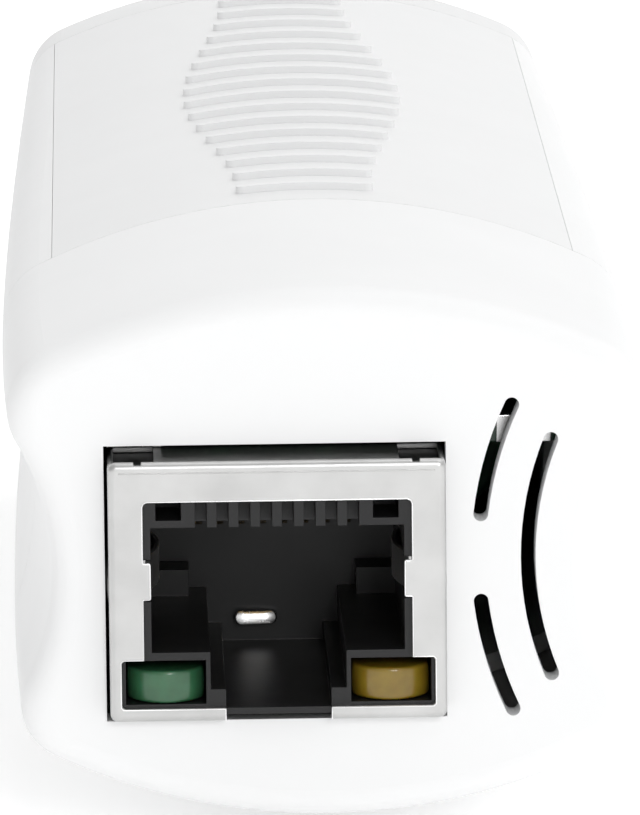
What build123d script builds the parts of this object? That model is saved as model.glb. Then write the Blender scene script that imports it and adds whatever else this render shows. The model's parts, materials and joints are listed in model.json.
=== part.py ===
from build123d import *
import math
import os

# Stick-shaped powerline adapter: network socket at the -Y end, mains pins at the +Y end, raised
# grip ribs on the top (+Z).  The origin is the centre of the plug face.  Millimetres.
# "depth" is measured back from the jack face, so depth 0 is that face and depth LENGTH the plug face.

# ---- case ----
LENGTH = 86.0
SEAM = 21.4                     # depth of the joint between front cap and main shell
PLATE = 80.0                    # depth where the plug plate starts
SEAM_GAP = 0.06
WALL = 1.6
TOP_RISE = 12.79                # crown above the axis at the jack face
TOP_FLARE = 0.0222              # its growth per millimetre of depth
BOTTOM_DROP = 12.7
BOTTOM_FLARE = 0.025
CROWN_RADIUS = 31.15
BELLY_RADIUS = 29.2
UPPER_HALF = 16.6               # half widths at the jack face, before the corners are rounded
UPPER_LOSS = 2.3                # what they have lost at the plug face
UPPER_LOSS_POWER = 1.4
LOWER_HALF = 15.65
LOWER_LOSS = 0.83
LOWER_LOSS_POWER = 3.0
WAIST_HALF = 14.35              # half width of the hollow sides far from the jack face
WAIST_PINCH = 1.52              # how much narrower they are at that face
WAIST_FADE = 20.0               # depth over which the pinch fades
WAIST_Z = -0.4
UPPER_RADIUS = 3.2
LOWER_RADIUS = 2.75
LEAST_RADIUS = 0.4
SECTION_STEP = 11.0             # greatest distance between the sections of a loft
FRONT_EDGE_RADIUS = 1.4
REAR_EDGE_RADIUS = 2.5
SLIDE_GAP = 0.1                 # play between case parts that slot together

# ---- top cover ----
COVER_HALF = 12.85
COVER_GAP = 0.02
COVER_SPLIT_Z = 7.8
LEDGE = 1.8
RIB_RISE = 0.35
RIB_X = -0.3
RIB_LENGTH = 6.8                 # of the first and last rib
RIB_SWELL = 4.6                  # how much longer the middle one is
RIB_WIDTH = 0.8
RIB_PITCH = 3.5
RIB_COUNT = 16
RIB_START = 24.2

# ---- network jack ----
JACK_X = -2.35
JACK_Z = -1.365
SHIELD_WIDTH = 15.86
SHIELD_HEIGHT = 12.47
SHIELD_SHEET = 0.25
SHIELD_CORNER = 0.38             # bend of the long edges
SHIELD_BEND = 0.32               # bend round the front window's frame
SHIELD_EDGE = 0.05               # rounding of the window's cut edge
SHIELD_RELIEF = (5.75, 7.65)     # openings in the roof at its front corners, from the middle
SHIELD_NOTCH = (6.35, 6.7)       # nicks in the front bend
TAB_REACH = 5.95                 # the window's side tabs end this far from the middle
TAB_HEIGHT = 1.72
SHIELD_STAND = 1.2              # how far the shield stands out of the jack face
SHIELD_BACK = 16.4              # depth of its rear
SHIELD_FOOT_DEPTH = (7.0, 8.6)
MOUTH_WIDTH = 12.6              # window of the shield
MOUTH_TOP = 2.96
MOUTH_FLOOR = -4.63
OPENING_MARGINS = (0.17, 0.04, 0.2, 0.59)    # case opening round the shield: left, right, below, above
WINDOW_WIDTH = 14.76            # lower part of the window, in front of the lenses
WINDOW_FLOOR = -6.95
LATCH_GAP = 4.96
CAVITY_WIDTH = 11.9
CAVITY_TOP = 1.7
CAVITY_FLOOR = -4.3
CAVITY_BACK = 13.0
LATCH_WIDE = 6.4
LATCH_STEP = -6.1
LATCH_FLOOR = -7.0
CONTACTS = 8
CONTACT_PITCH = 1.02
CONTACT_WIDTH = 0.36
CONTACT_SHEET = 0.25
COMB_SLOT = 0.56
COMB_WEB = (0.5, 1.4)            # depths of the wall that closes the comb's slots at the back
COMB_BACK = 9.8                   # depth that the slots for the springs' arms reach
KEY_RECESS = (4.5, 5.7)           # hollows beside the comb, from the socket's middle
KEY_RECESS_BACK = 2.0
KEY_RECESS_LIP = 0.35
CABLE_STOP = (1.9, 2.0, 1.3)      # blocks in the cavity's rear corners: width, depth and height
CONTACT_PIVOT_DEPTH = 3.2
CONTACT_PIVOT_Z = 2.1
CONTACT_SLOPE = 20.0               # degrees below level
CONTACT_REACH = 6.6
GROUND_SPRING_Z = -0.83
GROUND_SPRING_HEIGHT = 1.7
GROUND_SPRING_SHEET = 0.2
GROUND_SPRING_PIVOT = (0.42, 0.2)  # outward from the cavity wall, and depth
GROUND_SPRING_ROLL = 0.24
LENS_OFFSET = 5.3
LENS_WIDTH = 3.66
LENS_HEIGHT = 1.54
LENS_Z = -5.97
LENS_CROWN = -1.0                # depth of the middle of the convex front
LENS_NOSE_RADIUS = 1.95
LENS_EDGE = 0.12
LENS_BAY_TOP = -4.68

# ---- vents ----
VENT_CENTRE = (24.57, -0.15)
VENT_WIDTH = 0.7
VENTS = ((17.45, 6.9, 24.8), (17.45, -24.8, -6.9), (15.1, -21.9, 21.9))     # radius, angles

# ---- board ----
BOARD_HALF = 11.8
BOARD_FRONT = 2.4
BOARD_BACK = 74.0
BOARD_Z = 4.95                  # underside, just above the jack
BOARD_THICK = 1.2
BOARD_TOP = BOARD_Z + BOARD_THICK
RAIL_HEIGHT = 1.2
AIR = 0.03                      # air left between parts that only touch

# ---- screws ----
SCREW_DEPTHS = (24.9, 74.8)
SCREW_SHAFT = 1.2
SCREW_HEAD = 2.1
SCREW_HEAD_HEIGHT = 1.5
SCREW_SEAT_Z = -5.0
SCREW_TIP_Z = 4.0
BOSS_RADIUS = 2.9
BOSS_JOINT_Z = -1.0
COVER_BOSS_RADIUS = 2.3

# ---- plug ----
PIN_SPACING = 18.6
PIN_LENGTH = 19.0
PIN_RADIUS = 2.0
PIN_NECK = 1.55
SLEEVE_RADIUS = 1.8
SLEEVE_LENGTH = 10.0
SLEEVE_ROOT = 2.0
PIN_TAIL_DEPTH = 76.6
LEAD_RADIUS = 0.6

# ---- pairing button ----
BUTTON_DEPTH = 52.0
BUTTON_LENGTH = 7.0
BUTTON_HEIGHT = 3.4
BUTTON_PLAY = 0.15
BUTTON_FACE_X = 14.65
BUTTON_FLANGE_X = (11.7, 12.25)
BUTTON_FLANGE_LIP = 0.8
SWITCH_X = (6.35, 10.65)
SWITCH_Z = (-2.6, BOARD_Z - AIR)
PLUNGER_RADIUS = 1.2


# ---------------------------------------------------------------- building blocks
def along(depth):
    """The Y of a depth behind the jack face."""
    return depth - LENGTH


def middle(span):
    return (span[0] + span[1]) / 2


def size(span):
    return span[1] - span[0]


def block(x, depth, z):
    """A box from its (low, high) spans."""
    return Pos(middle(x), along(middle(depth)), middle(z)) * Box(size(x), size(depth), size(z))


def rod_x(x, depth, z, radius):
    return Pos(middle(x), along(depth), z) * Rot(0, 90, 0) * Cylinder(radius, size(x))


def rod_y(x, depth, z, radius):
    return Pos(x, along(middle(depth)), z) * Rot(90, 0, 0) * Cylinder(radius, size(depth))


def rod_z(x, depth, z, radius):
    return Pos(x, along(depth), middle(z)) * Cylinder(radius, size(z))


def around(centre, width):
    """The (low, high) span of a width about a centre."""
    return (centre - width / 2, centre + width / 2)


def cross_plane(depth):
    """Plane across the body whose local axes are X and Z, seen from the jack end."""
    return Plane(origin=(0, along(depth), 0), x_dir=(1, 0, 0), z_dir=(0, -1, 0))


def arc_fall(radius, half_width):
    """How far an arc of this radius has fallen at a half width from its crest."""
    return radius - math.sqrt(radius**2 - half_width**2)


def upper_half(depth):
    return UPPER_HALF - UPPER_LOSS * (max(depth, 0) / LENGTH) ** UPPER_LOSS_POWER


def lower_half(depth):
    return LOWER_HALF - LOWER_LOSS * (max(depth, 0) / LENGTH) ** LOWER_LOSS_POWER


def waist_half(depth):
    return WAIST_HALF - WAIST_PINCH * math.exp(-depth / WAIST_FADE)


def circle_through(a, b, c):
    """Centre and radius of the circle through three points."""
    d = 2 * (a[0] * (b[1] - c[1]) + b[0] * (c[1] - a[1]) + c[0] * (a[1] - b[1]))
    squares = [p[0] ** 2 + p[1] ** 2 for p in (a, b, c)]
    x = (squares[0] * (b[1] - c[1]) + squares[1] * (c[1] - a[1]) + squares[2] * (a[1] - b[1])) / d
    z = (squares[0] * (c[0] - b[0]) + squares[1] * (a[0] - c[0]) + squares[2] * (b[0] - a[0])) / d
    return (x, z), math.dist((x, z), a)


def circles_cross(centre_a, radius_a, centre_b, radius_b, side):
    """One crossing of two circles; side +1 or -1 picks which."""
    apart = math.dist(centre_a, centre_b)
    reach = (apart**2 + radius_a**2 - radius_b**2) / (2 * apart)
    height = side * math.sqrt(radius_a**2 - reach**2)
    ux = (centre_b[0] - centre_a[0]) / apart
    uz = (centre_b[1] - centre_a[1]) / apart
    return (centre_a[0] + reach * ux - height * uz, centre_a[1] + reach * uz + height * ux)


def outline(depth, inset=0.0):
    """Waisted section of the case: crowned top and bottom, hollow sides, rounded corners."""
    top = TOP_RISE + TOP_FLARE * depth
    bottom = -BOTTOM_DROP - BOTTOM_FLARE * depth
    upper_x = upper_half(depth)
    lower_x = lower_half(depth)
    upper = (upper_x, top - arc_fall(CROWN_RADIUS, upper_x))
    lower = (lower_x, bottom + arc_fall(BELLY_RADIUS, lower_x))
    flank, flank_radius = circle_through(upper, (waist_half(depth), WAIST_Z), lower)
    flank_radius += inset
    crown = (0, top - CROWN_RADIUS)
    belly = (0, bottom + BELLY_RADIUS)
    upper = circles_cross(crown, CROWN_RADIUS - inset, flank, flank_radius, 1)
    lower = circles_cross(belly, BELLY_RADIUS - inset, flank, flank_radius, -1)
    waist = flank[0] - flank_radius
    edges = [
        ThreePointArc((-upper[0], upper[1]), (0, top - inset), upper),
        ThreePointArc(upper, (waist, flank[1]), lower),
        ThreePointArc(lower, (0, bottom + inset), (-lower[0], lower[1])),
        ThreePointArc((-lower[0], lower[1]), (-waist, flank[1]), (-upper[0], upper[1])),
    ]
    face = make_face(Wire(edges))
    low_corners = face.vertices().group_by(Axis.Y)[0]
    face = fillet(low_corners, max(LOWER_RADIUS - inset, LEAST_RADIUS))
    high_corners = face.vertices().group_by(Axis.Y)[-1]
    face = fillet(high_corners, max(UPPER_RADIUS - inset, LEAST_RADIUS))
    return cross_plane(depth) * face


def hull(depth, inset=0.0):
    """The body between two depths, set in from the outer surface."""
    steps = math.ceil(size(depth) / SECTION_STEP)
    sections = [outline(depth[0] + size(depth) * step / steps, inset) for step in range(steps + 1)]
    return loft(sections)


def keep(node, shape, colour):
    """Writes one sub-part."""
    shape.label = node
    shape.color = Color(colour)
    export_step(shape, f"parts/{node}.step")


# ---------------------------------------------------------------- case
def screw_columns(radius, z):
    """Upright cylinders at both screw positions."""
    front, back = SCREW_DEPTHS
    return rod_z(0, front, z, radius) + rod_z(0, back, z, radius)


def vents():
    """Concentric curved slots through the end wall, beside the jack."""
    slots = Part()
    for radius, start, end in VENTS:
        arc = CenterArc(VENT_CENTRE, radius, 180 + start, end - start)
        slots += extrude(cross_plane(-1) * SlotArc(arc, VENT_WIDTH), amount=-(WALL + 2))
    return slots


def jack_opening():
    left, right, below, above = OPENING_MARGINS
    x = (JACK_X - SHIELD_WIDTH / 2 - left, JACK_X + SHIELD_WIDTH / 2 + right)
    z = (JACK_Z - SHIELD_HEIGHT / 2 - below, JACK_Z + SHIELD_HEIGHT / 2 + above)
    return block(x, (-1, WALL + 1), z)


def front_cap():
    outer = hull((0, SEAM - SEAM_GAP / 2))
    end_face = outer.faces().sort_by(Axis.Y)[0]
    outer = fillet(end_face.edges(), FRONT_EDGE_RADIUS)
    shell = outer - hull((WALL, SEAM + 1), WALL)
    jack_right = JACK_X + SHIELD_WIDTH / 2
    jack_left = JACK_X - SHIELD_WIDTH / 2
    for x in ((jack_right + 0.1, jack_right + 1.0), (jack_left - 1.1, jack_left - 0.2)):
        rib = block(x, (WALL - 0.2, WALL + 7), (-6.0, 3.0))
        shell += rib
    return shell - jack_opening() - vents()


def button_slot(grow, x):
    """The button's outline, carried through the side wall."""
    plane = Plane(origin=(x[0], along(BUTTON_DEPTH), WAIST_Z), x_dir=(0, 1, 0), z_dir=(1, 0, 0))
    shape = SlotOverall(BUTTON_LENGTH + 2 * grow, BUTTON_HEIGHT + 2 * grow)
    return extrude(plane * shape, amount=size(x))


def cover_ledge(body, side):
    """Step inside the shell on which one long edge of the cover rests."""
    hollow = hull((SEAM - 1, PLATE + 1), 2 * WALL)
    under_cover = sorted((side * (COVER_HALF - LEDGE), side * (COVER_HALF + 0.1)))
    at_wall = sorted((side * COVER_HALF, side * (COVER_HALF + 1)))
    length = (SEAM, PLATE - 2.2)
    height = (BOARD_TOP + 0.6, 14)
    ledge = (hull(body, WALL + SLIDE_GAP) - hollow) & block(under_cover, length, height)
    root = (hull(body, WALL - 0.4) - hollow) & block(at_wall, length, height)
    return ledge + root


def tongue(body):
    """Rim that enters the front cap, cut away for the cover and for the edges of the board."""
    rim = hull((SEAM - 3, SEAM + 2), WALL + SLIDE_GAP) - hull((SEAM - 4, SEAM + 3), WALL + 1)
    root = hull((body[0], SEAM + 2), WALL - 0.3) - hull((SEAM, SEAM + 3), WALL + 1)
    length = (SEAM - 4, SEAM + 3)
    under_cover = block((-COVER_HALF, COVER_HALF), length, (COVER_SPLIT_Z, 20))
    board_slot = block((-BOARD_HALF - 0.2, BOARD_HALF + 0.2), length, (BOARD_Z - 0.2, BOARD_TOP + 0.2))
    return rim + root - under_cover - board_slot


def main_shell():
    body = (SEAM + SEAM_GAP / 2, PLATE)
    shell = hull(body) - hull((SEAM - 1, PLATE + 1), WALL)
    shell -= block((-COVER_HALF, COVER_HALF), (SEAM - 1, PLATE + 1), (COVER_SPLIT_Z, 20))
    for side in (-1, 1):
        shell += cover_ledge(body, side)
    shell += tongue(body)
    inside = hull(body, WALL - 0.3)
    for side in (-1, 1):
        x = sorted((side * (BOARD_HALF - 1.0), side * 15))
        rail_z = (BOARD_Z - AIR - RAIL_HEIGHT, BOARD_Z - AIR)
        shell += inside & block(x, (SEAM + 2, BUTTON_DEPTH - 6), rail_z)
        shell += inside & block(x, (BUTTON_DEPTH + 6, BOARD_BACK - 1), rail_z)
    shell += inside & screw_columns(BOSS_RADIUS, (-20, BOSS_JOINT_Z))
    shell -= screw_columns(SCREW_SHAFT + 0.15, (-20, 5))
    shell -= screw_columns(SCREW_HEAD + 0.2, (-20, SCREW_SEAT_Z))
    return shell - button_slot(BUTTON_PLAY, (10, 20))


def grip_ribs():
    """Raised transverse bars that follow the crown."""
    ribs = Part()
    for index in range(RIB_COUNT):
        depth = RIB_START + index * RIB_PITCH
        length = RIB_LENGTH + RIB_SWELL * math.sin(math.pi * index / (RIB_COUNT - 1)) ** 2
        plane = Plane(origin=(RIB_X, along(depth), TOP_RISE - 2), x_dir=(1, 0, 0), z_dir=(0, 0, 1))
        ribs += extrude(plane * SlotOverall(length, RIB_WIDTH), amount=5)
    span = (SEAM + 1, PLATE - 0.5)
    skin = hull(span, -RIB_RISE) - hull(span, 0.4)
    return ribs & skin


def top_cover():
    body = (SEAM + SEAM_GAP / 2, PLATE - COVER_GAP)
    wall = hull(body) - hull((SEAM - 1, PLATE + 1), WALL)
    half = COVER_HALF - COVER_GAP
    cover = wall & block((-half, half), (SEAM - 1, PLATE + 1), (COVER_SPLIT_Z + 0.5, 20))
    cover = Part() + cover.solids().sort_by(SortBy.VOLUME)[-1]      # without the slivers of side wall
    cover += grip_ribs()
    inside = hull(body, WALL - 0.3)
    cover += inside & screw_columns(COVER_BOSS_RADIUS, (BOSS_JOINT_Z + AIR, 20))
    return cover - screw_columns(SCREW_SHAFT + 0.02, (BOSS_JOINT_Z - 1, SCREW_TIP_Z + 1))


def plug_plate():
    """Rear end piece: the plug face, a spigot that enters the case and the holes for the pins."""
    outer = hull((PLATE + SEAM_GAP / 2, LENGTH))
    rear_face = outer.faces().sort_by(Axis.Y)[-1]
    plate = fillet(rear_face.edges(), REAR_EDGE_RADIUS)
    spigot = hull((PLATE - 2, PLATE + 1), WALL + SLIDE_GAP)
    plate += spigot
    plate -= hull((PLATE - 3, LENGTH - 4), WALL + 1.3) & block((-6, 6), (PLATE - 3, LENGTH - 4), (-8, 8))
    for x in (-PIN_SPACING / 2, PIN_SPACING / 2):
        plate -= rod_y(x, (PLATE - 3, LENGTH + 1), 0, PIN_NECK + 0.02)
        plate -= rod_y(x, (LENGTH - SLEEVE_ROOT, LENGTH + 1), 0, SLEEVE_RADIUS + 0.02)
    return plate


def case_screws():
    head = screw_columns(SCREW_HEAD, (SCREW_SEAT_Z - SCREW_HEAD_HEIGHT, SCREW_SEAT_Z - 0.02))
    shaft = screw_columns(SCREW_SHAFT, (SCREW_SEAT_Z - 0.1, SCREW_TIP_Z))
    drive_z = (SCREW_SEAT_Z - SCREW_HEAD_HEIGHT - 1, SCREW_SEAT_Z - SCREW_HEAD_HEIGHT + 0.8)
    screws = head + shaft
    for depth in SCREW_DEPTHS:
        screws -= block((-1.3, 1.3), around(depth, 0.5), drive_z)
        screws -= block((-0.25, 0.25), around(depth, 2.6), drive_z)
    return screws


# ---------------------------------------------------------------- pairing button and its switch
def pairing_button():
    cap = button_slot(0, (BUTTON_FLANGE_X[0], BUTTON_FACE_X))
    front_edges = cap.faces().sort_by(Axis.X)[-1].edges()
    cap = fillet(front_edges, 0.35)
    return cap + button_slot(BUTTON_FLANGE_LIP, BUTTON_FLANGE_X)


def switch_body():
    body = block(SWITCH_X, around(BUTTON_DEPTH, 6.0), SWITCH_Z)
    return body - rod_x((SWITCH_X[0] + 2.4, SWITCH_X[1] + 1), BUTTON_DEPTH, WAIST_Z, PLUNGER_RADIUS + 0.1)


def switch_plunger():
    return rod_x((SWITCH_X[0] + 3.4, BUTTON_FLANGE_X[0] - 0.05), BUTTON_DEPTH, WAIST_Z, PLUNGER_RADIUS)


# ---------------------------------------------------------------- mains pins
def mains_pin(x):
    tip = rod_y(x, (LENGTH + SLEEVE_LENGTH, LENGTH + PIN_LENGTH), 0, PIN_RADIUS)
    end_edge = tip.edges().sort_by(Axis.Y)[-1]
    tip = fillet(end_edge, PIN_RADIUS * 0.7)
    neck = rod_y(x, (PLATE - 1, LENGTH + SLEEVE_LENGTH + 0.5), 0, PIN_NECK)
    tail = rod_y(x, (PIN_TAIL_DEPTH, PLATE), 0, 1.0)
    return tip + neck + tail


def pin_sleeve(x):
    span = (LENGTH - SLEEVE_ROOT + 0.02, LENGTH + SLEEVE_LENGTH - 0.02)
    return rod_y(x, span, 0, SLEEVE_RADIUS) - rod_y(x, (LENGTH - 3, LENGTH + 12), 0, PIN_NECK + 0.01)


def mains_lead(x):
    """Insulated wire from a pin's tail up to the underside of the board."""
    bend = 1.6
    foot_depth = BOARD_BACK - 1.6
    tail = (x, along(PIN_TAIL_DEPTH - 0.05), 0)
    elbow = (x, along(foot_depth), 0)
    foot = (x, along(foot_depth), BOARD_Z - AIR)
    path = FilletPolyline(tail, elbow, foot, radius=bend)
    start = Plane(origin=path @ 0, z_dir=path % 0)
    return sweep(start * Circle(LEAD_RADIUS), path=path)


# ---------------------------------------------------------------- network jack
def jack_span(width):
    return around(JACK_X, width)


def jack_shield():
    """Folded sheet box, open towards the board's pins, with the front window cut in it."""
    x = jack_span(SHIELD_WIDTH)
    z = around(JACK_Z, SHIELD_HEIGHT)
    depth = (-SHIELD_STAND, SHIELD_BACK)
    box = block(x, depth, z)
    box = fillet(box.edges().filter_by(Axis.Y), SHIELD_CORNER)
    box = fillet(box.faces().sort_by(Axis.Y)[0].edges(), SHIELD_BEND)
    inner = [(low + SHIELD_SHEET, high - SHIELD_SHEET) for low, high in (x, depth, z)]
    box -= block(*inner)
    front = (depth[0] - 1, depth[0] + 1)
    mouth = block(jack_span(MOUTH_WIDTH), front, (MOUTH_FLOOR - 0.1, MOUTH_TOP))
    mouth = fillet(mouth.edges().filter_by(Axis.Y).group_by(Axis.Z)[-1], 0.25)
    window = block(jack_span(WINDOW_WIDTH), front, (WINDOW_FLOOR, MOUTH_FLOOR))
    window = fillet(window.edges().filter_by(Axis.Y), 0.2)
    for side in (-1, 1):
        tab_x = sorted((JACK_X + side * TAB_REACH, JACK_X + side * MOUTH_WIDTH))
        mouth -= block(tab_x, front, around(GROUND_SPRING_Z, TAB_HEIGHT))
    box -= mouth + window
    box = fillet(box.faces().sort_by(Axis.Y)[0].inner_wires()[0].edges(), SHIELD_EDGE)
    box -= block(jack_span(LATCH_GAP), (depth[0] - 1, 6.0), (z[0] - 1, WINDOW_FLOOR + 0.3))
    box -= block(jack_span(SHIELD_WIDTH - 3), (SHIELD_BACK - 9, SHIELD_BACK - 2), (z[1] - 1, z[1] + 1))
    for side in (-1, 1):
        lead_x = around(JACK_X + side * LENS_OFFSET, LENS_WIDTH - 0.8)
        box -= block(lead_x, (SHIELD_BACK - 1, SHIELD_BACK + 1), around(LENS_Z, 1.1))
        relief_x = sorted(JACK_X + side * out for out in SHIELD_RELIEF)
        box -= block(relief_x, (-0.85, 2.5), (z[1] - 0.3, z[1] + 1))
        notch_x = sorted(JACK_X + side * out for out in SHIELD_NOTCH)
        box -= block(notch_x, (-SHIELD_STAND - 1, 0), (z[1] - 0.14, z[1] + 1))
    for side in (-1, 1):
        bump_x = JACK_X + side * (SHIELD_WIDTH / 2 - 0.05)
        bump = Pos(bump_x, along(1.2), JACK_Z + 0.15) * scale(Sphere(1), by=(0.17, 1.6, 1.2))
        box += bump - block(*inner)
        foot_x = around(JACK_X + side * (SHIELD_WIDTH - SHIELD_SHEET) / 2, SHIELD_SHEET)
        box += block(foot_x, SHIELD_FOOT_DEPTH, (z[1] - 0.5, BOARD_TOP + 0.6))
    return box


def comb_slots():
    """Grooves for the contacts, cut in the jack's ceiling."""
    slots = Part()
    for x in contact_places():
        height = (CAVITY_TOP - 0.3, MOUTH_TOP + 0.1)
        slots += block(around(x, COMB_SLOT), (-SHIELD_STAND, COMB_WEB[0]), height)
        slots += block(around(x, COMB_SLOT), (COMB_WEB[1], COMB_BACK), height)
    for side in (-1, 1):
        recess_x = sorted(JACK_X + side * edge for edge in KEY_RECESS)
        slots += block(recess_x, (-SHIELD_STAND, KEY_RECESS_BACK), (CAVITY_TOP + KEY_RECESS_LIP, MOUTH_TOP))
    return slots


def jack_housing():
    x = jack_span(SHIELD_WIDTH - 2 * SHIELD_SHEET - 2 * AIR)
    z = (JACK_Z - SHIELD_HEIGHT / 2 + SHIELD_SHEET + AIR, JACK_Z + SHIELD_HEIGHT / 2 - SHIELD_SHEET - AIR)
    front = -SHIELD_STAND + SHIELD_SHEET + AIR
    body = block(x, (front, SHIELD_BACK - SHIELD_SHEET - AIR), z)
    reach = (front - 1, CAVITY_BACK)
    body -= block(jack_span(CAVITY_WIDTH), reach, (CAVITY_FLOOR, CAVITY_TOP))
    body -= block(jack_span(CAVITY_WIDTH), (2.7, CAVITY_BACK), (0, CAVITY_TOP + 0.9))
    body -= block(jack_span(LATCH_WIDE), reach, (LATCH_STEP, CAVITY_FLOOR + 1))
    body -= block(jack_span(LATCH_GAP), reach, (LATCH_FLOOR, LATCH_STEP + 0.5))
    body -= comb_slots()
    for side in (-1, 1):
        lens_x = JACK_X + side * LENS_OFFSET
        bay_z = (LENS_Z - LENS_HEIGHT / 2 - 0.05, LENS_BAY_TOP)
        body -= block(around(lens_x, LENS_WIDTH + 0.12), (front - 1, 4.2), bay_z)
        body -= block(around(lens_x, LENS_WIDTH - 0.8), (4, SHIELD_BACK), around(LENS_Z, 1.1))
        wall_x = JACK_X + side * (CAVITY_WIDTH / 2 + 0.2)
        pocket_z = around(GROUND_SPRING_Z, GROUND_SPRING_HEIGHT + 0.3)
        body -= block(around(wall_x, 1.5), (front - 1, 7.0), pocket_z)
        stop_wide, stop_deep, stop_high = CABLE_STOP
        stop_x = sorted(JACK_X + side * (CAVITY_WIDTH / 2 - inset) for inset in (0, stop_wide))
        stop_z = (CAVITY_FLOOR, CAVITY_FLOOR + stop_high)
        body += block(stop_x, (CAVITY_BACK - stop_deep, CAVITY_BACK), stop_z)
    return body


def contact_profile():
    """Side view of one contact spring: a rolled front end and a straight arm sloping down and back."""
    slope = math.radians(CONTACT_SLOPE)
    start = (CONTACT_PIVOT_DEPTH, CONTACT_PIVOT_Z)
    end = (start[0] + CONTACT_REACH * math.cos(slope), start[1] - CONTACT_REACH * math.sin(slope))
    roll = 0.42
    down = (math.sin(slope), math.cos(slope))
    outer = [start, end, (end[0] - CONTACT_SHEET * down[0], end[1] - CONTACT_SHEET * down[1])]
    outer.append((start[0] - CONTACT_SHEET * down[0], start[1] - CONTACT_SHEET * down[1]))
    arm = make_face(Polyline(*outer, close=True))
    return arm + Pos(start[0], start[1] - CONTACT_SHEET / 2) * Circle(roll / 2)


def contact_plane(x):
    """Plane at one X whose local axes are depth and Z."""
    return Plane(origin=(x, along(0), 0), x_dir=(0, 1, 0), z_dir=(1, 0, 0))


def contact_places():
    return [JACK_X + (index - (CONTACTS - 1) / 2) * CONTACT_PITCH for index in range(CONTACTS)]


def jack_contacts():
    springs = Part()
    for x in contact_places():
        plane = contact_plane(x - CONTACT_WIDTH / 2)
        springs += extrude(plane * contact_profile(), amount=CONTACT_WIDTH)
    return springs


def jack_pins():
    """Fixed tails of the contacts: they leave the rear of the jack and pass through the board."""
    tails = Part()
    for index, x in enumerate(contact_places()):
        depth = SHIELD_BACK + 0.6 + (index % 2) * 1.3
        tails += block(around(x, 0.4), (SHIELD_BACK + 0.05, depth + 0.2), (2.6, 2.9))
        tails += block(around(x, 0.4), around(depth, 0.4), (2.6, BOARD_TOP + 0.7))
    return tails


def ground_spring(side):
    """Leaf at the mouth's side that presses on the plug's own shield."""
    wall = JACK_X + side * CAVITY_WIDTH / 2
    route = [GROUND_SPRING_PIVOT, (-0.05, 1.6), (-0.32, 3.4), (0.1, 6.2)]
    line = Spline(*[(wall + side * out, depth) for out, depth in route])
    plane = Plane(origin=(0, along(0), GROUND_SPRING_Z - GROUND_SPRING_HEIGHT / 2))
    leaf = extrude(plane * trace(line, GROUND_SPRING_SHEET), amount=GROUND_SPRING_HEIGHT)
    out, depth = GROUND_SPRING_PIVOT
    height = around(GROUND_SPRING_Z, GROUND_SPRING_HEIGHT)
    return leaf + rod_z(wall + side * out, depth, height, GROUND_SPRING_ROLL)


def lens(side):
    """Light window: a bar whose front is convex from side to side."""
    x = JACK_X + side * LENS_OFFSET
    width = around(x, LENS_WIDTH)
    height = around(LENS_Z, LENS_HEIGHT)
    nose_depth = LENS_CROWN + LENS_NOSE_RADIUS
    nose = rod_z(x, nose_depth, height, LENS_NOSE_RADIUS)
    nose &= block(width, (LENS_CROWN - 1, nose_depth), height)
    nose = fillet(nose.edges().filter_by(GeomType.CIRCLE), LENS_EDGE)
    return nose + block(width, (nose_depth, 4.0), height)


def lens_leads():
    """Leads of the light bodies: back along the jack, then up behind it to the board."""
    leads = Part()
    for side in (-1, 1):
        for shift in (-0.8, 0.8):
            x = JACK_X + side * LENS_OFFSET + shift
            leads += block(around(x, 0.4), (4.1, SHIELD_BACK + 0.6), around(LENS_Z, 0.4))
            leads += block(around(x, 0.4), (SHIELD_BACK + 0.35, SHIELD_BACK + 0.75), (LENS_Z - 0.2, 2.2))
    return leads


# ---------------------------------------------------------------- board and what stands on it
def main_board():
    board = block((-BOARD_HALF, BOARD_HALF), (BOARD_FRONT, BOARD_BACK), (BOARD_Z, BOARD_TOP))
    board = fillet(board.edges().filter_by(Axis.Z), 1.0)
    board -= screw_columns(COVER_BOSS_RADIUS + 0.4, (0, 10))
    for index, x in enumerate(contact_places()):
        depth = SHIELD_BACK + 0.6 + (index % 2) * 1.3
        board -= rod_z(x, depth, (0, 10), 0.42)
    for side in (-1, 1):
        foot_x = JACK_X + side * (SHIELD_WIDTH - SHIELD_SHEET) / 2
        foot_depth = (SHIELD_FOOT_DEPTH[0] - 0.2, SHIELD_FOOT_DEPTH[1] + 0.2)
        board -= block(around(foot_x, 0.5), foot_depth, (0, 10))
    return board


def hanging(x, depth, height):
    """A block soldered under the board."""
    return block(x, depth, (BOARD_Z - AIR - height, BOARD_Z - AIR))


def standing(x, depth, height):
    """A block soldered on top of the board."""
    return block(x, depth, (BOARD_TOP + AIR, BOARD_TOP + AIR + height))


def legs(places, height):
    """Wires between a hanging part and the board."""
    wires = Part()
    for x, depth in places:
        wires += rod_z(x, depth, (BOARD_Z - AIR - height, BOARD_Z - AIR), 0.3)
    return wires


def gull_leads(x, depth, count, pitch, height):
    """Two rows of flat leads beside a chip that stands on the board, one row at each X side."""
    leads = Part()
    for index in range(count):
        place = middle(depth) + (index - (count - 1) / 2) * pitch
        leads += standing((x[0] - 0.8, x[0] + 0.05), around(place, pitch * 0.45), height * 0.4)
        leads += standing((x[1] - 0.05, x[1] + 0.8), around(place, pitch * 0.45), height * 0.4)
    return leads


def chip(x, depth, height):
    """A moulded package with a bevelled lid and a pin-one dimple."""
    body = standing(x, depth, height)
    body = chamfer(body.faces().sort_by(Axis.Z)[-1].edges(), min(0.25, height * 0.3))
    top = BOARD_TOP + AIR + height
    return body - rod_z(x[0] + 1.1, depth[0] + 1.1, (top - 0.1, top + 1), 0.35)


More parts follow.
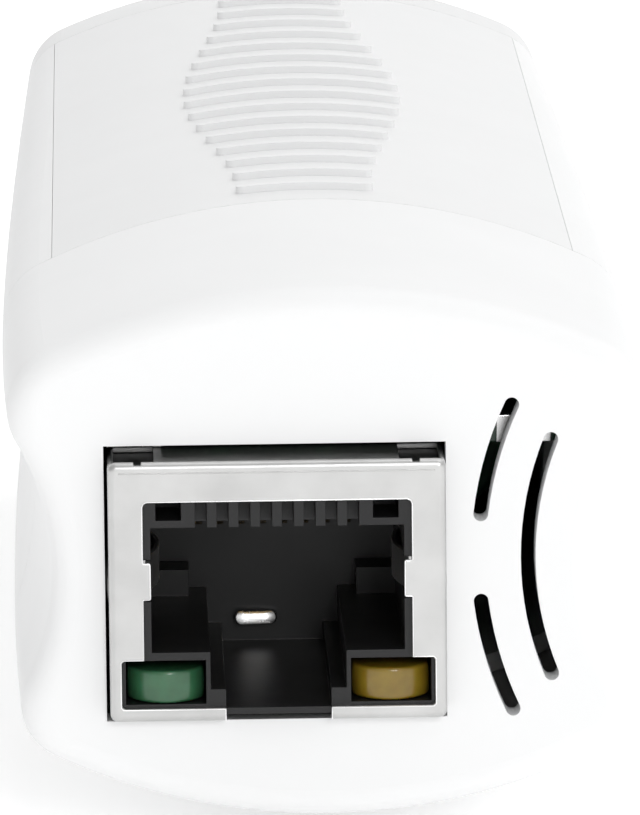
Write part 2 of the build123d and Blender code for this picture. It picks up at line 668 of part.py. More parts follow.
def fuse():
    body = hanging((-9.6, -5.4), (63.0, 71.4), 8.4)
    body = fillet(body.edges().filter_by(Axis.Z), 1.2)
    gap = hanging((-12, 0), (60, 74), 0.8)
    return body - gap + legs([(-7.5, 64.6), (-7.5, 69.8)], 1.2)


def varistor():
    disc = rod_y(5.8, (72.9, 75.9), 0.9, 2.7)
    return fillet(disc.edges(), 1.0) + legs([(4.6, 73.4), (7.0, 73.4)], 3.0)


def x2_capacitor():
    body = hanging((-4.4, 0.4), (62.6, 71.6), 10.5)
    body = fillet(body.edges(), 0.4)
    gap = hanging((-6, 2), (60, 73), 0.5)
    return body - gap + legs([(-2, 64.2), (-2, 70)], 1.0)


def choke_core():
    outer = hanging((1.5, 10.3), (39.6, 48.0), 9.0)
    window = block((3.7, 8.1), (38, 50), (BOARD_Z - 6.6, BOARD_Z - 2.2))
    return outer - window


def choke_windings():
    """Two coils on the upright limbs of the choke's core."""
    coils = Part()
    middle_z = BOARD_Z - 4.4
    for x in (2.6, 9.2):
        coil = block(around(x, 3.4), (38.8, 48.8), around(middle_z, 3.8))
        coil = fillet(coil.edges().filter_by(Axis.Z), 0.8)
        coils += coil - block(around(x, 2.24), (39.57, 48.03), around(middle_z, 5))
    return coils


def bridge_rectifier():
    body = standing((-8.6, -2.4), (62.4, 67.2), 2.4)
    body = chamfer(body.faces().sort_by(Axis.Z)[-1].edges(), 0.35)
    return body + gull_leads((-8.6, -2.4), (62.4, 67.2), 2, 3.0, 2.4)


def bulk_capacitor():
    """High-voltage electrolytic, lying along the body."""
    radius = 4.8
    can = rod_y(6.2, (57.4, 71.6), -0.75, radius)
    can = fillet(can.edges(), 0.5)
    groove = rod_y(6.2, (69.4, 70.0), -0.75, radius + 1) - rod_y(6.2, (69.4, 70.0), -0.75, radius - 0.25)
    return can - groove


def transformer_core():
    """Ferrite E pair: two side limbs, two bridges and a round-cornered middle limb."""
    outer = block((-10.6, 0.4), (52.2, 58.8), (-6.8, 2.8))
    window = block((-8.7, -1.5), (50, 62), (-4.9, 0.9))
    limb = block((-6.6, -3.6), (52.2, 58.8), (-5.2, 1.2))
    return outer - window + limb


def transformer_bobbin():
    flanges = Part()
    for z in ((-4.8, -4.2), (0.2, 0.8)):
        flanges += block((-8.5, -1.7), (50.2, 60.8), z)
    tube = block((-7.1, -3.1), (51.7, 59.3), (-4.8, 0.8))
    pins = legs([(-8.0, 50.7), (-5.1, 50.7), (-2.2, 50.7), (-8.0, 60.3), (-2.2, 60.3)], 4.2)
    bored = flanges + tube - block((-6.63, -3.57), (52.17, 58.83), (-6, 2))
    return bored + pins


def transformer_winding():
    coil = block((-8.3, -1.9), (50.5, 60.5), (-4.17, 0.17))
    coil = fillet(coil.edges().filter_by(Axis.Z), 1.2)
    return coil - block((-7.13, -3.07), (51.67, 59.33), (-6, 2))


def y_capacitor():
    disc = rod_x((2.0, 4.6), 53.0, 0.2, 2.9)
    return fillet(disc.edges(), 0.8) + legs([(3.3, 51.2), (3.3, 54.8)], 3.0)


def optocoupler():
    x, depth = (-9.6, -5.4), (50.4, 55.0)
    return chip(x, depth, 2.2) + gull_leads(x, depth, 2, 2.54, 2.2)


def supply_controller():
    x, depth = (1.8, 5.8), (56.6, 61.6)
    return chip(x, depth, 1.6) + gull_leads(x, depth, 4, 1.27, 1.6)


def output_capacitor():
    can = rod_z(-6.4, 44.2, (BOARD_Z - 12.0, BOARD_Z - 0.4), 3.9)
    can = fillet(can.edges(), 0.4)
    return can + legs([(-8.1, 44.2), (-4.7, 44.2)], 1.0)


def output_choke():
    """Drum core between two discs."""
    drum = rod_z(-0.9, 44.2, (BOARD_Z - 5.4, BOARD_Z - AIR), 0.9)
    for z in ((BOARD_Z - 5.4, BOARD_Z - 4.6), (BOARD_Z - AIR - 0.8, BOARD_Z - AIR)):
        drum += rod_z(-0.9, 44.2, z, 1.5)
    return drum


def powerline_chip():
    return chip((-6, 6), (28.0, 40.0), 0.9)


def thermal_pad():
    low = BOARD_TOP + AIR + 0.9 + AIR
    return block((-5.5, 5.5), (28.5, 39.5), (low, low + 0.5))


def heat_sink():
    """Aluminium block with fins along the body."""
    low = BOARD_TOP + 3 * AIR + 1.4
    sink = block((-6.5, 6.5), (27.6, 40.4), (low, low + 0.9))
    for index in range(7):
        sink += block(around(-6.1 + index * 12.2 / 6, 0.8), (27.6, 40.4), (low + 0.8, low + 3.0))
    return sink


def ethernet_chip():
    return chip((-3.2, 3.2), (43.0, 49.4), 0.9)


def memory_chips():
    """Working memory and flash."""
    large = chip((5.2, 9.6), (43.6, 50.2), 1.0) + gull_leads((5.2, 9.6), (43.6, 50.2), 8, 0.75, 1.0)
    small = chip((-9.8, -5.9), (43.0, 47.9), 1.5) + gull_leads((-9.8, -5.9), (43.0, 47.9), 4, 1.27, 1.5)
    return large + small


def crystals():
    cans = Part()
    for x, depth in (((-10.6, -7.4), (30.0, 35.0)), ((7.4, 10.6), (33.0, 38.0))):
        can = standing(x, depth, 1.2)
        cans += fillet(can.edges().filter_by(Axis.Z), 0.5)
    return cans


def coupling_transformer():
    """Small ring core with its coil, standing under the board."""
    ring = rod_y(5.9, (28.4, 32.6), 0.0, 4.3) - rod_y(5.9, (28, 33), 0.0, 1.8)
    ring = fillet(ring.edges(), 0.4)
    return ring + legs([(3.0, 30.5), (8.8, 30.5)], 2.6)


def coupling_capacitor():
    body = hanging((1.6, 10.2), (34.2, 38.0), 8.6)
    body = fillet(body.edges(), 0.4)
    gap = hanging((0, 12), (33, 39), 0.5)
    return body - gap + legs([(2.6, 36.1), (9.2, 36.1)], 1.0)


def ethernet_magnetics():
    body = hanging((-9.8, -2.6), (27.6, 39.0), 5.2)
    body = chamfer(body.faces().sort_by(Axis.Z)[0].edges(), 0.4)
    for index in range(8):
        depth = 28.9 + index * 1.27
        for row in ((-10.8, -9.7), (-2.7, -1.6)):
            body += hanging(row, around(depth, 0.5), 0.5)
    return body


def board_passives():
    """Small resistors and capacitors in short rows on top of the board."""
    chips = Part()
    rows = ((-10.4, 37.6, 3), (8.0, 39.8, 2), (-3.5, 51.6, 6))
    rows += ((8.2, 52.6, 5), (1.6, 63.6, 5), (-9.2, 57.4, 3))
    for x, depth, count in rows:
        for index in range(count):
            chips += standing(around(x, 0.9), around(depth + index * 1.5, 0.8), 0.5)
            chips += standing(around(x + 2.0, 0.9), around(depth + index * 1.5, 0.8), 0.5)
    return chips


def main():
    os.makedirs("parts", exist_ok=True)
    half = PIN_SPACING / 2
    white, black, steel, brass, green = "white", "gray20", "gray75", "goldenrod", "darkgreen"
    nodes = [
        ("front_cap", front_cap(), white),
        ("main_shell", main_shell(), white),
        ("top_cover", top_cover(), "gray95"),
        ("plug_plate", plug_plate(), "gray90"),
        ("case_screws", case_screws(), steel),
        ("pairing_button", pairing_button(), "gray85"),
        ("switch_body", switch_body(), black),
        ("switch_plunger", switch_plunger(), "gray60"),
        ("line_pin", mains_pin(-half), brass),
        ("neutral_pin", mains_pin(half), brass),
        ("line_sleeve", pin_sleeve(-half), black),
        ("neutral_sleeve", pin_sleeve(half), black),
        ("line_lead", mains_lead(-half), "saddlebrown"),
        ("neutral_lead", mains_lead(half), "royalblue"),
        ("jack_shield", jack_shield(), steel),
        ("jack_housing", jack_housing(), black),
        ("jack_contacts", jack_contacts(), brass),
        ("jack_pins", jack_pins(), brass),
        ("left_ground_spring", ground_spring(-1), steel),
        ("right_ground_spring", ground_spring(1), steel),
        ("green_lens", lens(-1), "seagreen"),
        ("amber_lens", lens(1), "darkgoldenrod"),
        ("lens_leads", lens_leads(), steel),
        ("main_board", main_board(), green),
        ("fuse", fuse(), black),
        ("varistor", varistor(), "blue"),
        ("x2_capacitor", x2_capacitor(), "gold"),
        ("choke_core", choke_core(), black),
        ("choke_windings", choke_windings(), "chocolate"),
        ("bridge_rectifier", bridge_rectifier(), black),
        ("bulk_capacitor", bulk_capacitor(), "darkslateblue"),
        ("transformer_core", transformer_core(), black),
        ("transformer_bobbin", transformer_bobbin(), "ivory"),
        ("transformer_winding", transformer_winding(), "gold"),
        ("y_capacitor", y_capacitor(), "steelblue"),
        ("optocoupler", optocoupler(), "ivory"),
        ("supply_controller", supply_controller(), black),
        ("output_capacitor", output_capacitor(), "darkslateblue"),
        ("output_choke", output_choke(), black),
        ("powerline_chip", powerline_chip(), black),
        ("thermal_pad", thermal_pad(), "gray60"),
        ("heat_sink", heat_sink(), "gray75"),
        ("ethernet_chip", ethernet_chip(), black),
        ("memory_chips", memory_chips(), black),
        ("crystals", crystals(), steel),
        ("coupling_transformer", coupling_transformer(), "darkgreen"),
        ("coupling_capacitor", coupling_capacitor(), "gold"),
        ("ethernet_magnetics", ethernet_magnetics(), black),
        ("board_passives", board_passives(), "tan"),
    ]
    for node, shape, colour in nodes:
        keep(node, shape, colour)


main()
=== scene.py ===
import json
import math

import bmesh
import bpy
from mathutils import Matrix, Vector


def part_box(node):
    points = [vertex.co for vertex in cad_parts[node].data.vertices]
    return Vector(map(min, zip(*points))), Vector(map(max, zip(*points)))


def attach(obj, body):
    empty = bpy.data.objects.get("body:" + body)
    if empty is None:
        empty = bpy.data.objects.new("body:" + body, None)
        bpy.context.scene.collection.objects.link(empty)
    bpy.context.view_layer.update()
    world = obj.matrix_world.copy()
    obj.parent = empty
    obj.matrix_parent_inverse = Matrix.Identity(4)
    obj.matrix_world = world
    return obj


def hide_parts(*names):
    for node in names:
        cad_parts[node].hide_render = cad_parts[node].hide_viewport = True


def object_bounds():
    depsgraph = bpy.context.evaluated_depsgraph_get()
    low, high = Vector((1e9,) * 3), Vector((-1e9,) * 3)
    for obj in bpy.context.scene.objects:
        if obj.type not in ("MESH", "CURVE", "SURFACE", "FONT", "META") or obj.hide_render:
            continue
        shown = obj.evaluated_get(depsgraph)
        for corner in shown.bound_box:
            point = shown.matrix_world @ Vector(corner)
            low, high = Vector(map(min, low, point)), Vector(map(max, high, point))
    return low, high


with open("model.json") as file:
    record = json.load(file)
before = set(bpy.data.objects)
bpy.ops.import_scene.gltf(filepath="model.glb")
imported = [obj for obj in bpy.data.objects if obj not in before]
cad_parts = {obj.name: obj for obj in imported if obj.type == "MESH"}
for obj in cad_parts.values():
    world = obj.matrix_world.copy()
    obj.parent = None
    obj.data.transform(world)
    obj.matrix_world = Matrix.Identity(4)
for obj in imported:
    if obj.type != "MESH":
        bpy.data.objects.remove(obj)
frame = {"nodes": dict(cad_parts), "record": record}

# The powerline adapter's looks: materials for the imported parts, fine pieces, light and camera.
# The fine pieces' sizes are in millimetres and are turned into metres by MM. The stage's are in metres.
MM = 0.001
CAD_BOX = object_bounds()
NODES = frame["nodes"]

# ---- light: places and sizes in metres, powers in watts ----
ROOM_LEFT = 0.55                            # strength of the room's light at the far left and right
ROOM_RIGHT = 0.77
OVERHEAD_PLACE = (0.25, 0.05, 0.65)
OVERHEAD_SIZE = (0.6, 0.6)
OVERHEAD_POWER = 1.7
FRONT_PLACE = (0.14, -0.78, 0.28)
FRONT_SIZE = (0.18, 0.2)
FRONT_POWER = 1.48

# ---- floor, in metres ----
FLOOR_HALF = 3.0                            # half its width, and how far it comes forward
FLOOR_REAR = 1.2                            # where it begins to curve up
FLOOR_BEND = 0.6
FLOOR_BEND_STEPS = 12
FLOOR_TOP = 3.0
FLOOR_GLOW = 0.27

# ---- camera ----
CAMERA_PLACE = (-10.43, -469.4, 85.83)      # millimetres, about 0.38 m in front of the jack face
CAMERA_TURN = 1.519                         # degrees: right of +Y, down, and rolled
CAMERA_DROP = 11.59
CAMERA_ROLL = -0.536
CAMERA_LENS = 369.2
CAMERA_SENSOR = 36
CAMERA_NEAR = 0.01                          # metres

# ---- light windows of the jack ----
LENS_NOSE_RADIUS = 1.95
LENS_SOFT = 0.14                            # rounding of their upper and lower edges
LENS_BULGE = 0.05                           # how much the face stands out half way up
LENS_STEPS = 36
LENS_LEVELS = 24
LENS_SHARP_ANGLE = 40                       # degrees: steeper edges stay crisp

# ---- other fine pieces ----
STOP_PLACE = (-0.8, -3.9, 1.85)             # from the shield's middle, its rear and its lower edge
STOP_AHEAD = (-0.09, 0.958, -0.25)          # the tongue's polished face looks against this direction
STOP_HALF_LENGTH = 1.05
STOP_HALF_HEIGHT = 0.36
STOP_THICKNESS = 0.25
PAD_PLACES = (8.6, 10.2, -8.2, -9.8, 6.6)   # X of each pad on the board's front edge
PAD_HALF = 0.5
PAD_DEPTH = 0.7
PAD_PROUD = 0.05
PAD_EDGE = 0.04
FLAP_HALF = 7.4                             # the fold on the shield's front: half its length
FLAP_HEIGHT = 12.0                          # its top, above the shield's lower edge
FLAP_FALL = 0.07
FLAP_PROUD = 0.03
FLAP_EDGE = 0.015
SUNK = 0.02                                 # how deep a piece sits in the shield's front
RIM_RADIUS = 0.036
WINDOW_EDGE = [                             # half of the window's outline, from the latch gap up:
    (-2.50, 0.05), (-2.50, 0.60),           # across from the middle, and above the lower edge
    (-7.30, 0.60), (-7.41, 0.72), (-7.41, 2.90), (-7.30, 3.0),
    (-6.34, 3.0), (-6.34, 5.88), (-6.28, 5.92),
    (-6.02, 5.92), (-5.98, 5.98), (-5.98, 7.58), (-6.02, 7.64),
    (-6.28, 7.64), (-6.34, 7.68), (-6.34, 10.36), (-6.27, 10.53), (-6.1, 10.6),
]


# ---------------------------------------------------------------- places
def corner(node, index):
    """Lowest (0) or highest (1) corner of a node, as a vector in metres."""
    return Vector(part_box(node)[index])


def centre(node):
    low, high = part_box(node)
    return (Vector(low) + Vector(high)) / 2


def millimetres(vector):
    return Vector(vector) / MM


JACK = centre("jack_shield")


# ---------------------------------------------------------------- node graphs
class Graph:
    """A material's node tree, with short calls for the nodes used here."""

    def __init__(self, name):
        self.material = bpy.data.materials.new(name)
        self.material.use_nodes = True
        self.tree = self.material.node_tree
        self.tree.nodes.clear()
        self.shader = self.add("ShaderNodeBsdfPrincipled")
        output = self.add("ShaderNodeOutputMaterial")
        self.link(self.shader, "BSDF", output, "Surface")
        self.place = self.add("ShaderNodeTexCoord")

    def add(self, kind, **settings):
        node = self.tree.nodes.new(kind)
        for key, value in settings.items():
            setattr(node, key, value)
        return node

    def link(self, source, output, target, socket):
        self.tree.links.new(source.outputs[output], target.inputs[socket])

    def set(self, **values):
        """Shader sockets, with _ for a space."""
        for key, value in values.items():
            self.shader.inputs[key.replace("_", " ")].default_value = value

    def stretched(self, stretch):
        """Object coordinates in metres, scaled along each axis."""
        mapping = self.add("ShaderNodeMapping")
        mapping.inputs["Scale"].default_value = stretch
        self.link(self.place, "Object", mapping, "Vector")
        return mapping

    def noise(self, size_mm, detail=3.0, stretch=(1, 1, 1)):
        """Noise whose features are about size_mm across."""
        texture = self.add("ShaderNodeTexNoise")
        texture.inputs["Scale"].default_value = 1 / (size_mm * MM)
        texture.inputs["Detail"].default_value = detail
        self.link(self.stretched(stretch), "Vector", texture, "Vector")
        return texture

    def ramp(self, source, output, stops):
        """Colour ramp from (position, colour) stops."""
        ramp = self.add("ShaderNodeValToRGB")
        elements = ramp.color_ramp.elements
        while len(elements) < len(stops):
            elements.new(0.5)
        for element, (position, colour) in zip(elements, stops):
            element.position = position
            element.color = (*colour, 1)
        self.link(source, output, ramp, "Fac")
        return ramp

    def spread(self, source, output, low, high):
        """Maps a 0 to 1 value on to low to high."""
        spread = self.add("ShaderNodeMapRange")
        spread.inputs["To Min"].default_value = low
        spread.inputs["To Max"].default_value = high
        self.link(source, output, spread, "Value")
        return spread

    def bump(self, source, output, depth_mm, strength, under=None):
        bump = self.add("ShaderNodeBump")
        bump.inputs["Distance"].default_value = depth_mm * MM
        bump.inputs["Strength"].default_value = strength
        self.link(source, output, bump, "Height")
        if under is not None:
            self.link(under, "Normal", bump, "Normal")
        return bump

    def round_edges(self, radius_mm, grain):
        """Feeds a grain bump with normals that turn smoothly round each sharp edge."""
        bevel = self.add("ShaderNodeBevel", samples=6)
        bevel.inputs["Radius"].default_value = radius_mm * MM
        self.link(bevel, "Normal", grain, "Normal")


def tinted(colour, factor):
    return tuple(min(1.0, channel * factor) for channel in colour)


def moulded(name, colour, roughness, grain_mm=0.25, grain_depth=0.004, variation=0.03, edge_mm=0.0,
            **shader):
    """Moulded plastic: faint colour drift, uneven gloss and a fine spark-eroded grain."""
    graph = Graph(name)
    drift = graph.noise(9.0, detail=2.0)
    stops = ((0.35, tinted(colour, 1 - variation)), (0.65, tinted(colour, 1 + variation)))
    graph.link(graph.ramp(drift, "Fac", stops), "Color", graph.shader, "Base Color")
    gloss = graph.spread(graph.noise(2.5, detail=4.0), "Fac", roughness - 0.05, roughness + 0.05)
    graph.link(gloss, "Result", graph.shader, "Roughness")
    grain = graph.bump(graph.noise(grain_mm, detail=2.0), "Fac", grain_depth, strength=0.6)
    if edge_mm:
        graph.round_edges(edge_mm, grain)
    graph.link(grain, "Normal", graph.shader, "Normal")
    graph.set(**shader)
    return graph.material


def metal(name, colour, roughness, stretch=(1, 1, 1), scratch_mm=0.12, depth=0.002, spots=0.08,
          edge_mm=0.0):
    """Plated or rolled metal: stretched rolling marks, cloudy tarnish and uneven gloss."""
    graph = Graph(name)
    cloud = graph.noise(3.0, detail=5.0)
    stops = ((0.3, tinted(colour, 1 - spots)), (0.7, tinted(colour, 1 + spots / 2)))
    graph.link(graph.ramp(cloud, "Fac", stops), "Color", graph.shader, "Base Color")
    marks = graph.noise(scratch_mm, detail=3.0, stretch=stretch)
    gloss = graph.spread(marks, "Fac", roughness * 0.7, roughness * 1.3)
    graph.link(gloss, "Result", graph.shader, "Roughness")
    grain = graph.bump(marks, "Fac", depth, strength=0.5)
    if edge_mm:
        graph.round_edges(edge_mm, grain)
    graph.link(grain, "Normal", graph.shader, "Normal")
    graph.set(Metallic=1.0)
    return graph.material


def lens_plastic(name, colour, deep):
    """Tinted, slightly cloudy plastic with a glossy coat over a finely frosted surface."""
    graph = Graph(name)
    cloud = graph.noise(0.9, detail=3.0)
    stops = ((0.3, deep), (0.7, colour))
    graph.link(graph.ramp(cloud, "Fac", stops), "Color", graph.shader, "Base Color")
    speck = graph.noise(0.15, detail=2.0)
    graph.link(graph.bump(speck, "Fac", 0.003, strength=0.4), "Normal", graph.shader, "Normal")
    graph.set(Roughness=0.3, IOR=1.48, Coat_Weight=0.4, Coat_Roughness=0.07)
    graph.set(Subsurface_Weight=0.3, Subsurface_Scale=0.0006)
    return graph.material


def solder_mask(name):
    """Green board: mask over copper areas that run along and across it, slightly raised."""
    graph = Graph(name)
    pattern = graph.add("ShaderNodeTexBrick", offset=0.37)
    pattern.inputs["Scale"].default_value = 1 / (14.0 * MM)
    pattern.inputs["Mortar Size"].default_value = 0.03
    pattern.inputs["Brick Width"].default_value = 0.35
    pattern.inputs["Row Height"].default_value = 0.11
    graph.link(graph.place, "Object", pattern, "Vector")
    stops = ((0.1, (0.005, 0.032, 0.014)), (0.9, (0.012, 0.07, 0.03)))
    graph.link(graph.ramp(pattern, "Fac", stops), "Color", graph.shader, "Base Color")
    weave = graph.noise(0.4, detail=2.0)
    lift = graph.bump(pattern, "Fac", 0.03, strength=0.6)
    surface = graph.bump(weave, "Fac", 0.004, strength=0.4, under=lift)
    graph.link(surface, "Normal", graph.shader, "Normal")
    graph.set(Roughness=0.32, Coat_Weight=0.4, Coat_Roughness=0.12)
    return graph.material


# ---------------------------------------------------------------- materials
WHITE = (0.825, 0.828, 0.83)
COVER_WHITE = (0.785, 0.788, 0.79)
MATERIALS = {
    "case_plastic": moulded("case_white", WHITE, 0.5, variation=0.006, Specular_IOR_Level=0.35),
    "cover_plastic": moulded("cover_white", COVER_WHITE, 0.45, variation=0.006, Specular_IOR_Level=0.4),
    "plug_plastic": moulded("plug_white", (0.76, 0.763, 0.765), 0.38, variation=0.01),
    "button_plastic": moulded("button_grey", (0.46, 0.48, 0.5), 0.45),
    "zinc_steel": metal("zinc_plate", (0.62, 0.63, 0.65), 0.3),
    "pin_metal": metal("nickel_plate", (0.72, 0.69, 0.63), 0.2, stretch=(1, 0.05, 1)),
    "sleeve_plastic": moulded("sleeve_black", (0.012, 0.012, 0.013), 0.42),
    "brown_wire": moulded("brown_pvc", (0.13, 0.05, 0.02), 0.42),
    "blue_wire": moulded("blue_pvc", (0.02, 0.08, 0.4), 0.42),
    "shield_metal": metal("tin_plate", (0.57, 0.57, 0.565), 0.34, stretch=(0.12, 1, 1), scratch_mm=0.3,
                          depth=0.012, spots=0.1, edge_mm=0.1),
    "jack_plastic": moulded("jack_black", (0.009, 0.009, 0.0095), 0.4, grain_mm=0.15, edge_mm=0.08,
                            Specular_IOR_Level=0.4),
    "contact_gold": metal("gold_plate", (0.83, 0.56, 0.2), 0.22),
    "green_lens": lens_plastic("green_clear", (0.034, 0.13, 0.058), (0.026, 0.1, 0.045)),
    "amber_lens": lens_plastic("amber_clear", (0.235, 0.155, 0.012), (0.19, 0.12, 0.008)),
    "tinned_wire": metal("tinned_wire", (0.66, 0.66, 0.65), 0.32),
    "board_laminate": solder_mask("green_board"),
    "switch_black": moulded("switch_black", (0.02, 0.02, 0.022), 0.45),
    "moulded_black": moulded("epoxy_black", (0.022, 0.022, 0.024), 0.55, grain_mm=0.12, grain_depth=0.008),
    "film_yellow": moulded("film_yellow", (0.72, 0.45, 0.03), 0.3),
    "varistor_blue": moulded("dipped_blue", (0.02, 0.08, 0.34), 0.25, grain_mm=0.8, grain_depth=0.02),
    "ferrite": moulded("ferrite_black", (0.035, 0.035, 0.04), 0.6, grain_mm=0.2, grain_depth=0.012),
    "copper_winding": metal("enamelled_copper", (0.62, 0.19, 0.06), 0.3),
    "tape_yellow": moulded("tape_yellow", (0.68, 0.42, 0.04), 0.28),
    "bobbin_plastic": moulded("bobbin_cream", (0.62, 0.58, 0.46), 0.45),
    "can_sleeve": moulded("can_sleeve", (0.02, 0.03, 0.12), 0.25),
    "coupler_white": moulded("coupler_white", (0.7, 0.7, 0.68), 0.5),
    "thermal_grey": moulded("thermal_grey", (0.2, 0.22, 0.26), 0.7, grain_mm=0.4, grain_depth=0.02),
    "heat_sink_metal": metal("blasted_aluminium", (0.66, 0.67, 0.68), 0.5, scratch_mm=0.08, depth=0.006),
    "crystal_can": metal("rolled_can", (0.7, 0.7, 0.69), 0.25, stretch=(1, 0.1, 1)),
    "core_green": moulded("ring_green", (0.03, 0.16, 0.06), 0.4, grain_mm=0.5, grain_depth=0.02),
    "chip_ceramic": moulded("ceramic_tan", (0.3, 0.2, 0.12), 0.5),
}


def dress_nodes():
    """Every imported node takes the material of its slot."""
    for row in frame["record"]["subparts"]:
        mesh = NODES[row["node"]].data
        mesh.materials.clear()
        mesh.materials.append(MATERIALS[row["material_slot"]])


# ---------------------------------------------------------------- stage
def floor():
    """A pale sheet that runs back from under the case and curves up far behind it."""
    mesh = bpy.data.meshes.new("floor")
    level = CAD_BOX[0].z
    profile = [(-FLOOR_HALF, level), (FLOOR_REAR, level)]
    for step in range(1, FLOOR_BEND_STEPS + 1):
        angle = math.radians(90 * step / FLOOR_BEND_STEPS)
        rise = FLOOR_BEND * (1 - math.cos(angle))
        profile.append((FLOOR_REAR + FLOOR_BEND * math.sin(angle), level + rise))
    profile.append((FLOOR_REAR + FLOOR_BEND, FLOOR_TOP))
    form = bmesh.new()
    rows = [[form.verts.new((x, y, z)) for x in (-FLOOR_HALF, FLOOR_HALF)] for y, z in profile]
    for near, far in zip(rows, rows[1:]):
        form.faces.new((near[0], near[1], far[1], far[0]))
    form.to_mesh(mesh)
    form.free()
    for polygon in mesh.polygons:
        polygon.use_smooth = True
    stage = bpy.data.objects.new("floor", mesh)
    bpy.context.collection.objects.link(stage)
    paper = moulded("paper", (0.95, 0.95, 0.95), 0.9, grain_mm=1.5, grain_depth=0.01, variation=0.005,
                    Emission_Color=(1, 1, 1, 1), Emission_Strength=FLOOR_GLOW)
    mesh.materials.append(paper)


def area_light(name, place, target, size, power):
    data = bpy.data.lights.new(name, "AREA")
    data.shape = "RECTANGLE"
    data.size, data.size_y = size
    data.energy = power
    lamp = bpy.data.objects.new(name, data)
    bpy.context.collection.objects.link(lamp)
    lamp.location = place
    lamp.rotation_mode = "QUATERNION"
    lamp.rotation_quaternion = (Vector(target) - Vector(place)).to_track_quat("-Z", "Y")


def lights():
    """A white room, a little dimmer on the left, an overhead sheet and a small lamp in front."""
    world = bpy.data.worlds.new("studio")
    world.use_nodes = True
    tree = world.node_tree
    background = tree.nodes["Background"]
    background.inputs["Color"].default_value = (1, 1, 1, 1)
    direction = tree.nodes.new("ShaderNodeTexCoord")
    split = tree.nodes.new("ShaderNodeSeparateXYZ")
    level = tree.nodes.new("ShaderNodeMapRange")
    level.inputs["From Min"].default_value = -1
    level.inputs["To Min"].default_value = ROOM_LEFT
    level.inputs["To Max"].default_value = ROOM_RIGHT
    tree.links.new(direction.outputs["Generated"], split.inputs["Vector"])
    tree.links.new(split.outputs["X"], level.inputs["Value"])
    tree.links.new(level.outputs["Result"], background.inputs["Strength"])
    bpy.context.scene.world = world
    middle = (CAD_BOX[0] + CAD_BOX[1]) / 2
    area_light("overhead", OVERHEAD_PLACE, middle, OVERHEAD_SIZE, OVERHEAD_POWER)
    area_light("front", FRONT_PLACE, middle, FRONT_SIZE, FRONT_POWER)


def camera():
    turn, drop, roll = (math.radians(angle) for angle in (CAMERA_TURN, CAMERA_DROP, CAMERA_ROLL))
    ahead = Vector((math.sin(turn) * math.cos(drop), math.cos(turn) * math.cos(drop), -math.sin(drop)))
    right = ahead.cross(Vector((0, 0, 1))).normalized()
    up = right.cross(ahead)
    level = Matrix((right, up, -ahead)).transposed()
    data = bpy.data.cameras.new("camera")
    data.lens = CAMERA_LENS
    data.sensor_width = CAMERA_SENSOR
    data.clip_start = CAMERA_NEAR
    view = bpy.data.objects.new("camera", data)
    bpy.context.collection.objects.link(view)
    rolled = (level @ Matrix.Rotation(roll, 3, "Z")).to_4x4()
    view.matrix_world = Matrix.Translation(Vector(CAMERA_PLACE) * MM) @ rolled
    bpy.context.scene.camera = view


# ---------------------------------------------------------------- fine pieces
def piece(name, form, material, body, smooth=False):
    """Turns a bmesh into an object that rides on a body."""
    mesh = bpy.data.meshes.new(name)
    bmesh.ops.recalc_face_normals(form, faces=form.faces)
    form.to_mesh(mesh)
    form.free()
    for polygon in mesh.polygons:
        polygon.use_smooth = smooth
    mesh.materials.append(material)
    thing = bpy.data.objects.new(name, mesh)
    bpy.context.collection.objects.link(thing)
    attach(thing, body)
    return thing


def slab(form, low, high, edge):
    """Adds a block between two corners in millimetres, with its edges rounded."""
    size = Vector(high) - Vector(low)
    middle = (Vector(high) + Vector(low)) / 2
    place = Matrix.Translation(middle * MM) @ Matrix.Diagonal((*(size * MM), 1))
    made = bmesh.ops.create_cube(form, size=1, matrix=place)
    edges = list({line for vertex in made["verts"] for line in vertex.link_edges})
    bmesh.ops.bevel(form, geom=edges, offset=edge * MM, segments=3, profile=0.5, affect="EDGES")


def loft(form, rows):
    """Skins between closed rows of vertices and caps the first and the last."""
    count = len(rows[0])
    for first, second in zip(rows, rows[1:]):
        for index in range(count):
            after = (index + 1) % count
            form.faces.new((first[index], first[after], second[after], second[index]))
    form.faces.new(rows[0])
    form.faces.new(rows[-1])


def stadium(form, middle, right, up, ahead, half_length, half_height, thickness, steps=10):
    """Adds a plate with round ends that faces against ahead and bulges slightly."""
    ring = []
    straight = half_length - half_height
    for turn in range(2 * steps):
        angle = math.pi * turn / steps
        shift = straight if math.cos(angle) > 1e-6 else -straight
        ring.append((shift + half_height * math.cos(angle), half_height * math.sin(angle)))
    rows = []
    for scale, depth in ((1.0, 1.0), (1.0, 0.12), (0.9, 0.0), (0.45, -0.25)):
        row = []
        for a, b in ring:
            spot = Vector(middle) + right * (a * scale) + up * (b * scale) + ahead * (depth * thickness)
            row.append(form.verts.new(spot * MM))
        rows.append(row)
    loft(form, rows)


def latch_stop():
    """Polished tongue of the shield that stops the plug's latch at the back of its channel."""
    low = millimetres(corner("jack_shield", 0))
    rear = millimetres(corner("jack_shield", 1)).y
    ahead = Vector(STOP_AHEAD).normalized()
    right = ahead.cross(Vector((0, 0, 1))).normalized()
    up = right.cross(ahead)
    across, back, height = STOP_PLACE
    middle = (JACK.x / MM + across, rear + back, low.z + height)
    form = bmesh.new()
    stadium(form, middle, right, up, ahead, STOP_HALF_LENGTH, STOP_HALF_HEIGHT, STOP_THICKNESS)
    piece("latch_stop", form, metal("latch_stop_tin", (0.9, 0.9, 0.9), 0.25), "case", smooth=True)


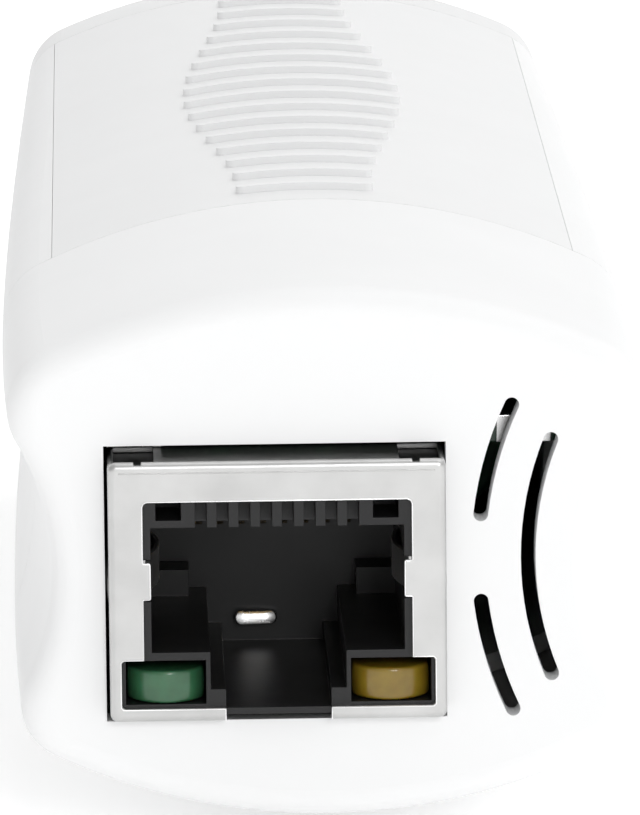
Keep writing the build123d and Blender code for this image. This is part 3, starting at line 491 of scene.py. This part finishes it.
def board_edge_pads():
    """Tinned pads wrapped over the board's front edge."""
    low = millimetres(corner("main_board", 0))
    high = millimetres(corner("main_board", 1))
    form = bmesh.new()
    for x in PAD_PLACES:
        near = (x - PAD_HALF, low.y - PAD_PROUD, low.z - PAD_PROUD)
        far = (x + PAD_HALF, low.y + PAD_DEPTH, high.z + PAD_PROUD)
        slab(form, near, far, PAD_EDGE)
    piece("board_edge_pads", form, metal("edge_tin", (0.8, 0.8, 0.8), 0.25), "case")


def shield_flap():
    """The edge of the sheet folded down over the shield's front."""
    low = millimetres(corner("jack_shield", 0))
    across = JACK.x / MM
    top = low.z + FLAP_HEIGHT
    form = bmesh.new()
    near = (across - FLAP_HALF, low.y - FLAP_PROUD, top - FLAP_FALL)
    far = (across + FLAP_HALF, low.y + SUNK, top)
    slab(form, near, far, FLAP_EDGE)
    piece("shield_flap", form, MATERIALS["shield_metal"], "case")


def window_rim():
    """Round wire along the cut edge of the shield's window, and round its corners: its round face catches
    real light, and its tin, much paler than the shield's, is a painted highlight.
    """
    low = millimetres(corner("jack_shield", 0))
    across = JACK.x / MM
    path = WINDOW_EDGE + [(-x, z) for x, z in reversed(WINDOW_EDGE)]
    data = bpy.data.curves.new("window_rim", "CURVE")
    data.dimensions = "3D"
    data.bevel_depth = RIM_RADIUS * MM
    data.bevel_resolution = 3
    line = data.splines.new("POLY")
    line.points.add(len(path) - 1)
    for point, (x, z) in zip(line.points, path):
        point.co = ((across + x) * MM, (low.y + SUNK) * MM, (low.z + z) * MM, 1)
    source = bpy.data.objects.new("window_rim_path", data)
    mesh = bpy.data.meshes.new_from_object(source)
    bpy.data.objects.remove(source)
    form = bmesh.new()
    form.from_mesh(mesh)
    # the rim's pale tin is a painted highlight along the window's edge
    piece("window_rim", form, metal("rim_tin_painted_highlight", (0.93, 0.93, 0.93), 0.3), "case", smooth=True)


def light_window(name, node, material):
    """A lens with a round nose in plan and softened upper and lower edges, in the place of its node."""
    low = millimetres(corner(node, 0))
    high = millimetres(corner(node, 1))
    across = (low.x + high.x) / 2
    half = (high.x - low.x) / 2
    nose_y = low.y + LENS_NOSE_RADIUS
    tall = (high.z - low.z) / 2
    form = bmesh.new()
    rows = []
    for level in range(LENS_LEVELS + 1):
        part = -math.cos(math.pi * level / LENS_LEVELS)
        short = max(0.0, LENS_SOFT - tall * (1 - abs(part)))
        soft = LENS_SOFT - math.sqrt(LENS_SOFT ** 2 - short ** 2)
        inset = soft + LENS_BULGE * part ** 2
        z = low.z + tall * (1 + part)
        radius = LENS_NOSE_RADIUS - inset
        reach = math.asin((half - inset) / radius)
        plan = [(across - half + inset, high.y)]
        for step in range(LENS_STEPS + 1):
            angle = reach * (2 * step / LENS_STEPS - 1)
            plan.append((across + radius * math.sin(angle), nose_y - radius * math.cos(angle)))
        plan.append((across + half - inset, high.y))
        rows.append([form.verts.new((x * MM, y * MM, z * MM)) for x, y in plan])
    loft(form, rows)
    thing = piece(name, form, material, "case", smooth=True)
    thing.data.set_sharp_from_angle(angle=math.radians(LENS_SHARP_ANGLE))
    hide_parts(node)


dress_nodes()
latch_stop()
board_edge_pads()
shield_flap()
window_rim()
light_window("green_window", "green_lens", MATERIALS["green_lens"])
light_window("amber_window", "amber_lens", MATERIALS["amber_lens"])
floor()
lights()
camera()
scene = bpy.context.scene
scene.view_settings.view_transform = "Standard"
